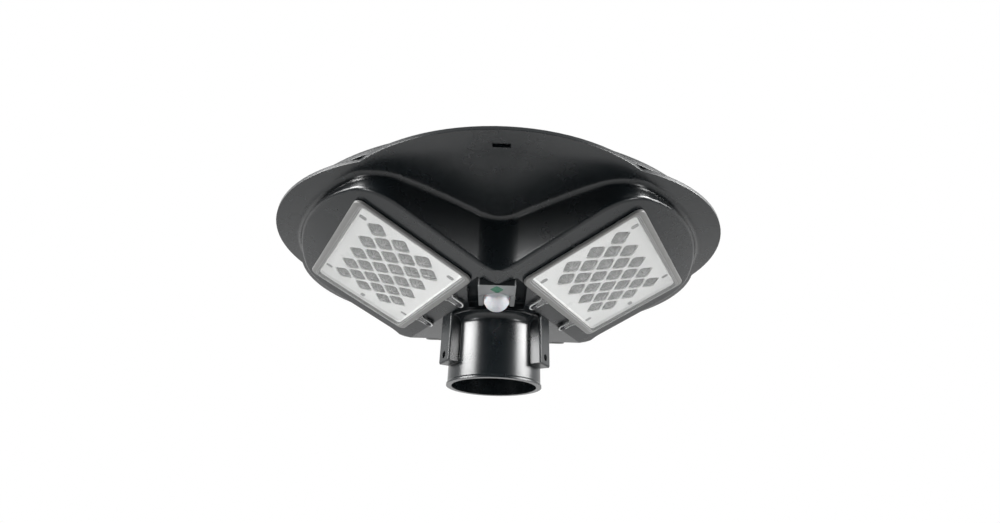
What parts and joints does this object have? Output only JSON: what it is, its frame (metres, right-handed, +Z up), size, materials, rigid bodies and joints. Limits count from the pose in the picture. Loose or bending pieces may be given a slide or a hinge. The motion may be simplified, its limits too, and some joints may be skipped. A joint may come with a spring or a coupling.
{
  "type": "solar_post_top_light",
  "caption": "Round solar post-top light with a lobed brim, three tilted LED lens panels underneath, a motion sensor dome and a ribbed socket that clamps onto a post.",
  "frame": {"origin": "centre of the post socket's mouth; the post enters along +Z", "axes": "+X to the right seen from the front; +Y to the back, the motion sensor faces the front, -Y; +Z up along the post, from the socket's mouth to the solar panel"},
  "size_m": [0.417, 0.4344, 0.1422],
  "materials": {
    "housing": "satin",
    "sensor_grey": "satin",
    "black_plastic": "satin",
    "button_black": "gloss",
    "white_plastic": "satin",
    "phosphor": "satin",
    "clear": "clear",
    "milky": "satin",
    "green": "gloss",
    "rubber": "matte",
    "cell_blue": "gloss",
    "steel": "satin",
    "brass": "satin",
    "aluminium": "satin",
    "board": "satin",
    "board_white": "satin",
    "battery_wrap": "gloss",
    "strap": "matte"
  },
  "bodies": {
    "lamp": {"lower_housing": "housing", "post_socket": "housing", "upper_cover": "housing", "sensor_housing": "sensor_grey", "socket_screws": "steel", "cover_screws": "steel", "lens_screws": "steel", "led_board_screws": "steel", "sensor_screws": "steel", "board_screws": "steel", "clamp_inserts": "brass", "cover_seal": "rubber", "solar_seal": "rubber", "solar_glass": "clear", "solar_cells": "cell_blue", "solar_backsheet": "black_plastic", "sensor_board": "board", "pir_dome": "milky", "pir_element": "steel", "indicator_window": "green", "indicator_led": "white_plastic", "battery_cells": "battery_wrap", "battery_tray": "black_plastic", "battery_strap": "strap", "controller_board": "board", "board_parts": "black_plastic", "switch_body": "aluminium", "switch_nut": "aluminium", "lens_cover_rear": "clear", "lens_gasket_rear": "rubber", "reflector_plate_rear": "white_plastic", "lens_sheet_rear": "clear", "led_board_rear": "board_white", "led_chips_rear": "phosphor", "lens_cover_left": "clear", "lens_gasket_left": "rubber", "reflector_plate_left": "white_plastic", "lens_sheet_left": "clear", "led_board_left": "board_white", "led_chips_left": "phosphor", "lens_cover_right": "clear", "lens_gasket_right": "rubber", "reflector_plate_right": "white_plastic", "lens_sheet_right": "clear", "led_board_right": "board_white", "led_chips_right": "phosphor"},
    "clamp_screw_rear": {"clamp_screw_rear": "steel"},
    "clamp_screw_left": {"clamp_screw_left": "steel"},
    "clamp_screw_right": {"clamp_screw_right": "steel"},
    "power_button": {"power_button": "button_black"}
  },
  "joints": [
    {"name": "clamp_rear", "type": "slide", "parent": "lamp", "child": "clamp_screw_rear", "axis": [0, -1, 0], "range_m": [0, 0.005]},
    {"name": "clamp_left", "type": "slide", "parent": "lamp", "child": "clamp_screw_left", "axis": [0.866, 0.5, 0], "range_m": [0, 0.005]},
    {"name": "clamp_right", "type": "slide", "parent": "lamp", "child": "clamp_screw_right", "axis": [-0.866, 0.5, 0], "range_m": [0, 0.005]},
    {"name": "power_press", "type": "slide", "parent": "lamp", "child": "power_button", "axis": [-1, 0, 0], "range_m": [0, 0.0015], "stiffness_N_per_m": 1300}
  ]
}
